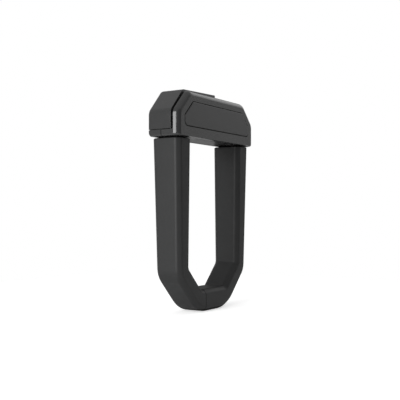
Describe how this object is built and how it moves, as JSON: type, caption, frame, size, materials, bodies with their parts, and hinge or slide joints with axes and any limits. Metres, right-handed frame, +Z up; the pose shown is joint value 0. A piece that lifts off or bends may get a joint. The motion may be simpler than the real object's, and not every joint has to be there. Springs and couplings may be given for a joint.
{
  "type": "u lock",
  "caption": "Compact U lock: an armoured, rubber-sleeved U shackle drops into a block crossbar with a key-driven pair of deadbolts and a sliding key cover.",
  "frame": {"origin": "centre of the lock's footprint, on the surface it stands on, under the bend of the shackle", "axes": "+X along the crossbar, towards the end away from the key cover; +Z up from the bend to the crossbar; the crossbar's panel faces -Y"},
  "size_m": [0.151, 0.037, 0.2269],
  "materials": {
    "sleeve_rubber": "matt rubberised charcoal",
    "shell_plastic": "satin charcoal, finely textured",
    "panel_plastic": "satin charcoal inlay",
    "collar_black": "matt black",
    "base_black": "satin black coating on steel",
    "armour_composite": "cast grey composite",
    "hard_steel": "ground hardened steel",
    "brass": "machined, nickel-washed brass",
    "seal_rubber": "matt black rubber"
  },
  "bodies": {
    "shackle": {"shackle_core": "hard_steel", "armour_left": "armour_composite", "armour_bottom": "armour_composite", "armour_right": "armour_composite", "sleeve_left": "sleeve_rubber", "sleeve_right": "sleeve_rubber", "collar_left": "collar_black", "collar_right": "collar_black"},
    "crossbar": {"base_plate": "base_black", "lock_frame": "hard_steel", "front_shell": "shell_plastic", "front_panel": "panel_plastic", "rear_shell": "shell_plastic", "front_armour_plate": "armour_composite", "rear_armour_plate": "armour_composite", "foot_seal_left": "seal_rubber", "foot_seal_right": "seal_rubber", "foot_buffer_left": "seal_rubber", "foot_buffer_right": "seal_rubber", "panel_screws": "hard_steel", "base_rivets": "hard_steel", "lock_cylinder": "brass", "cylinder_pin": "hard_steel", "keyhole_seal": "seal_rubber"},
    "plug": {"lock_plug": "brass", "lock_discs": "hard_steel", "sidebar": "hard_steel", "plug_clip": "hard_steel", "drive_cam": "hard_steel"},
    "deadbolt_left": {"deadbolt_left": "hard_steel"},
    "deadbolt_right": {"deadbolt_right": "hard_steel"},
    "key_cover": {"key_cover": "shell_plastic"}
  },
  "joints": [
    {"name": "crossbar_lift", "type": "slide", "parent": "shackle", "child": "crossbar", "axis": [0, 0, 1], "range_m": [0, 0.034]},
    {"name": "deadbolt_left_throw", "type": "slide", "parent": "crossbar", "child": "deadbolt_left", "axis": [-1, 0, 0], "range_m": [0, 0.00636]},
    {"name": "deadbolt_right_throw", "type": "slide", "parent": "crossbar", "child": "deadbolt_right", "axis": [1, 0, 0], "range_m": [0, 0.00637]},
    {"name": "plug_turn", "type": "hinge", "parent": "crossbar", "child": "plug", "pos_m": [-0.006, 0, 0.2], "axis": [0, 0, 1], "range_deg": [0, 90]},
    {"name": "key_cover_slide", "type": "slide", "parent": "crossbar", "child": "key_cover", "axis": [-1, 0, 0], "range_m": [0, 0.022]}
  ],
  "couplings": [
    {"joint": "plug_turn", "follows": "deadbolt_left_throw", "rad_per_m": 246.83},
    {"joint": "deadbolt_right_throw", "follows": "deadbolt_left_throw", "ratio": 1}
  ]
}
